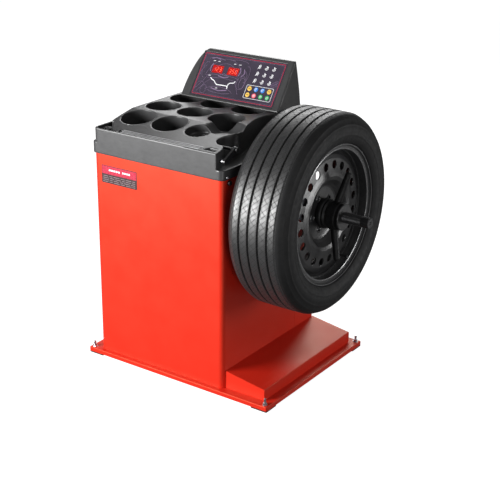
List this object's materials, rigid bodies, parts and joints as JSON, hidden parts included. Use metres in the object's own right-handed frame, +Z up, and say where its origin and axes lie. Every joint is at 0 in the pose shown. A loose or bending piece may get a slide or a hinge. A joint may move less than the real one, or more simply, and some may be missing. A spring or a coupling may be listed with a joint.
{
  "type": "wheel balancer",
  "caption": "Floor-standing wheel balancing machine: red cabinet, weight tray, sloping display head, and a tyred wheel clamped on its horizontal spindle.",
  "frame": {"origin": "centre of the whole machine's footprint, on the floor", "axes": "+X along the front from the cabinet to the free end of the spindle, +Y to the back, +Z up"},
  "size_m": [0.943, 0.667, 1.02],
  "materials": {
    "red_paint": "gloss",
    "tray_plastic": "satin",
    "black_plastic": "satin",
    "head_plastic": "satin",
    "overlay": "gloss",
    "led_red": "gloss",
    "icon_white": "satin",
    "key_amber": "gloss",
    "key_blue": "gloss",
    "key_red": "gloss",
    "key_green": "gloss",
    "label": "satin",
    "zinc_steel": "satin",
    "spindle_steel": "satin",
    "wheel_black": "satin",
    "tyre_rubber": "matt",
    "black_paint": "satin",
    "cast_grey": "satin",
    "alloy": "satin",
    "belt_rubber": "matt",
    "pcb": "satin",
    "ceramic": "satin",
    "copper": "satin"
  },
  "bodies": {
    "frame": {"base_plate": "red_paint", "base_feet": "black_paint", "anchor_bolts": "zinc_steel", "cabinet_shell": "red_paint", "rear_cover": "red_paint", "top_plate": "red_paint", "step_cover": "red_paint", "rating_label": "label", "weight_tray": "tray_plastic", "tray_screws": "zinc_steel", "hanger_peg": "black_plastic", "display_housing": "head_plastic", "control_panel": "overlay", "display_board": "pcb", "led_display_left": "led_red", "led_display_right": "led_red", "icon_keys": "icon_white", "spindle_pedestal": "black_paint", "spindle_housing": "cast_grey", "bearing_front": "spindle_steel", "bearing_rear": "spindle_steel", "piezo_sensors": "ceramic", "motor": "cast_grey", "motor_mount": "black_paint", "drive_belt": "belt_rubber", "encoder_sensor": "black_plastic", "power_board": "pcb", "transformer": "copper", "power_inlet": "black_plastic", "switch_housing": "black_plastic", "gauge_guide": "alloy", "gauge_potentiometer": "black_plastic"},
    "spindle": {"spindle_shaft": "spindle_steel", "spindle_pulley": "alloy", "encoder_disc": "zinc_steel", "backing_flange": "cast_grey", "centring_cone": "spindle_steel", "cone_spring": "spindle_steel", "wheel_rim": "wheel_black", "tyre": "tyre_rubber", "valve_stem": "black_plastic"},
    "motor_rotor": {"motor_pulley": "alloy"},
    "clamp": {"clamp_cup": "black_paint"},
    "nut": {"quick_nut": "black_plastic", "nut_face": "zinc_steel", "nut_handles": "black_plastic"},
    "gauge_slider": {"gauge_rod": "black_paint"},
    "gauge_swing": {"gauge_arm": "black_paint", "gauge_pin": "zinc_steel"},
    "rocker": {"power_switch": "black_plastic"},
    "key_start_upper_cap": {"key_start_upper": "key_amber"},
    "key_stop_upper_cap": {"key_stop_upper": "key_blue"},
    "key_menu_upper_cap": {"key_menu_upper": "key_blue"},
    "key_mode_upper_cap": {"key_mode_upper": "key_amber"},
    "key_start_lower_cap": {"key_start_lower": "key_amber"},
    "key_stop_lower_cap": {"key_stop_lower": "key_red"},
    "key_menu_lower_cap": {"key_menu_lower": "key_green"},
    "key_mode_lower_cap": {"key_mode_lower": "key_green"}
  },
  "joints": [
    {"name": "spindle_spin", "type": "hinge", "parent": "frame", "child": "spindle", "pos_m": [0.1095, 0, 0.602], "axis": [1, 0, 0], "continuous": true},
    {"name": "motor_spin", "type": "hinge", "parent": "frame", "child": "motor_rotor", "pos_m": [-0.2405, 0.15, 0.33], "axis": [1, 0, 0], "continuous": true},
    {"name": "clamp_slide", "type": "slide", "parent": "spindle", "child": "clamp", "axis": [1, 0, 0], "range_m": [0, 0.0901]},
    {"name": "nut_turn", "type": "hinge", "parent": "clamp", "child": "nut", "pos_m": [0.3495, 0, 0.602], "axis": [1, 0, 0], "range_deg": [0, 8100]},
    {"name": "gauge_pull", "type": "slide", "parent": "frame", "child": "gauge_slider", "axis": [1, 0, 0], "range_m": [0, 0.024], "stiffness_N_per_m": 60},
    {"name": "gauge_arm_swing", "type": "hinge", "parent": "gauge_slider", "child": "gauge_swing", "pos_m": [0.0975, -0.214, 0.83], "axis": [1, 0, 0], "range_deg": [-170, 0]},
    {"name": "power_rocker", "type": "hinge", "parent": "frame", "child": "rocker", "pos_m": [-0.3605, 0.263, 0.1741], "axis": [1, 0, 0], "range_deg": [0, 16]},
    {"name": "key_start_upper_press", "type": "slide", "parent": "frame", "child": "key_start_upper_cap", "axis": [0, 0.8173, -0.5763], "range_m": [0, 0.0008], "stiffness_N_per_m": 600},
    {"name": "key_stop_upper_press", "type": "slide", "parent": "frame", "child": "key_stop_upper_cap", "axis": [0, 0.8173, -0.5763], "range_m": [0, 0.0008], "stiffness_N_per_m": 600},
    {"name": "key_menu_upper_press", "type": "slide", "parent": "frame", "child": "key_menu_upper_cap", "axis": [0, 0.8173, -0.5763], "range_m": [0, 0.0008], "stiffness_N_per_m": 600},
    {"name": "key_mode_upper_press", "type": "slide", "parent": "frame", "child": "key_mode_upper_cap", "axis": [0, 0.8173, -0.5763], "range_m": [0, 0.0008], "stiffness_N_per_m": 600},
    {"name": "key_start_lower_press", "type": "slide", "parent": "frame", "child": "key_start_lower_cap", "axis": [0, 0.8173, -0.5763], "range_m": [0, 0.0008], "stiffness_N_per_m": 600},
    {"name": "key_stop_lower_press", "type": "slide", "parent": "frame", "child": "key_stop_lower_cap", "axis": [0, 0.8173, -0.5763], "range_m": [0, 0.0008], "stiffness_N_per_m": 600},
    {"name": "key_menu_lower_press", "type": "slide", "parent": "frame", "child": "key_menu_lower_cap", "axis": [0, 0.8173, -0.5763], "range_m": [0, 0.0008], "stiffness_N_per_m": 600},
    {"name": "key_mode_lower_press", "type": "slide", "parent": "frame", "child": "key_mode_lower_cap", "axis": [0, 0.8173, -0.5763], "range_m": [0, 0.0008], "stiffness_N_per_m": 600}
  ],
  "couplings": [
    {"joint": "motor_spin", "follows": "spindle_spin", "ratio": 2.0455},
    {"joint": "clamp_slide", "follows": "nut_turn", "m_per_rad": 0.00063662}
  ]
}
